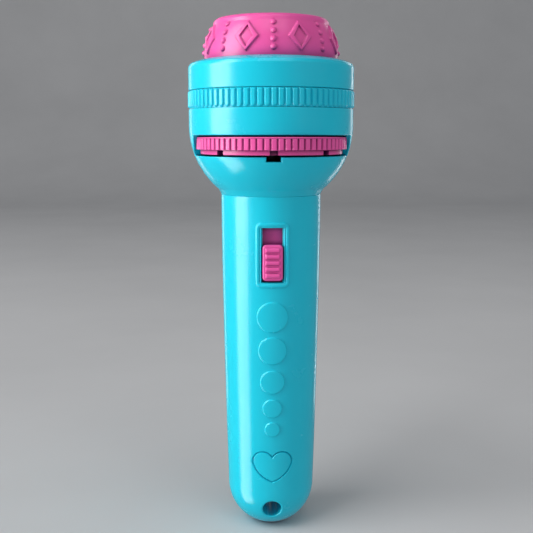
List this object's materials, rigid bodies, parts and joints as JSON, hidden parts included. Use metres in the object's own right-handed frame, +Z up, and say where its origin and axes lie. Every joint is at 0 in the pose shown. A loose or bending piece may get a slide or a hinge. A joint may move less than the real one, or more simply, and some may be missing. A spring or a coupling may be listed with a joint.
{
  "type": "toy slide projector torch in microphone shape",
  "caption": "Handheld toy torch shaped like a microphone, with a picture disc in a slot, a focus ring, a lens cap and a sliding switch.",
  "frame": {"origin": "centre of the flat foot under the handle's round end", "axes": "+Z up the handle towards the lens cap, -Y towards the switch and the disc slot, +X to the right seen from the switch side"},
  "size_m": [0.044, 0.0446, 0.138],
  "materials": {
    "cyan_shell": "glossy injection-moulded cyan plastic",
    "pink_plastic": "satin injection-moulded pink plastic",
    "black_plastic": "fine matt black moulding",
    "white_plastic": "white moulding",
    "screw_steel": "zinc-plated steel",
    "cell_steel": "nickel-plated steel",
    "contact_brass": "bright brass",
    "board_green": "green board laminate",
    "resistor_tan": "lacquered resistor body",
    "wire_red": "soft wire insulation",
    "wire_yellow": "soft wire insulation",
    "wire_black": "soft wire insulation",
    "led_yellow": "phosphor-filled resin",
    "clear_lens": "polished clear lens",
    "film_tint": "glossy printed film"
  },
  "bodies": {
    "housing": {"handle_front_shell": "cyan_shell", "handle_rear_shell": "cyan_shell", "case_screws": "screw_steel", "battery_carrier": "black_plastic", "button_cells": "cell_steel", "negative_contact": "cell_steel", "positive_contact": "cell_steel", "switch_board": "board_green", "contact_pads": "contact_brass", "series_resistor": "resistor_tan", "board_screws": "screw_steel", "battery_wire": "wire_red", "lamp_wire": "wire_yellow", "return_wire": "wire_black", "head_cup": "cyan_shell", "lamp_board": "board_green", "led": "led_yellow", "reflector": "white_plastic", "condenser_lens": "clear_lens", "disc_tray": "cyan_shell", "detent_spring": "cell_steel", "focus_guide_tube": "black_plastic", "head_collar": "cyan_shell"},
    "battery_cover": {"battery_cover": "cyan_shell"},
    "cover_screw": {"cover_screw": "screw_steel"},
    "switch": {"switch_slider": "pink_plastic", "switch_contact_leaf": "contact_brass"},
    "disc_hub": {"disc_hub": "white_plastic"},
    "slide_disc": {"slide_disc_wheel": "pink_plastic", "picture_film": "film_tint", "film_cover": "pink_plastic"},
    "focus_ring": {"focus_ring": "cyan_shell"},
    "lens_cap": {"lens_cap": "pink_plastic", "cap_guide_pins": "screw_steel", "projection_lens": "clear_lens", "lens_retainer": "black_plastic"}
  },
  "joints": [
    {"name": "focus_turn", "type": "hinge", "parent": "housing", "child": "focus_ring", "pos_m": [0, 0, 0.1174], "axis": [0, 0, 1], "range_deg": [0, 100]},
    {"name": "cap_extend", "type": "slide", "parent": "housing", "child": "lens_cap", "axis": [0, 0, 1], "range_m": [0, 0.004]},
    {"name": "disc_draw", "type": "slide", "parent": "housing", "child": "disc_hub", "axis": [0, -1, 0], "range_m": [0, 0.044]},
    {"name": "disc_turn", "type": "hinge", "parent": "disc_hub", "child": "slide_disc", "pos_m": [0, -0.00275, 0.1055], "axis": [0, 0, 1], "continuous": true, "deforming": ["detent_spring"]},
    {"name": "switch_slide", "type": "slide", "parent": "housing", "child": "switch", "axis": [0, 0, 1], "range_m": [0, 0.0042]},
    {"name": "cover_lift", "type": "slide", "parent": "housing", "child": "battery_cover", "axis": [0, 1, 0], "range_m": [0, 0.01]},
    {"name": "screw_turn", "type": "hinge", "parent": "battery_cover", "child": "cover_screw", "pos_m": [0, 0.0118, 0.0536], "axis": [0, 1, 0], "continuous": true}
  ],
  "couplings": [
    {"joint": "cap_extend", "follows": "focus_turn", "m_per_rad": 0.0022918}
  ]
}
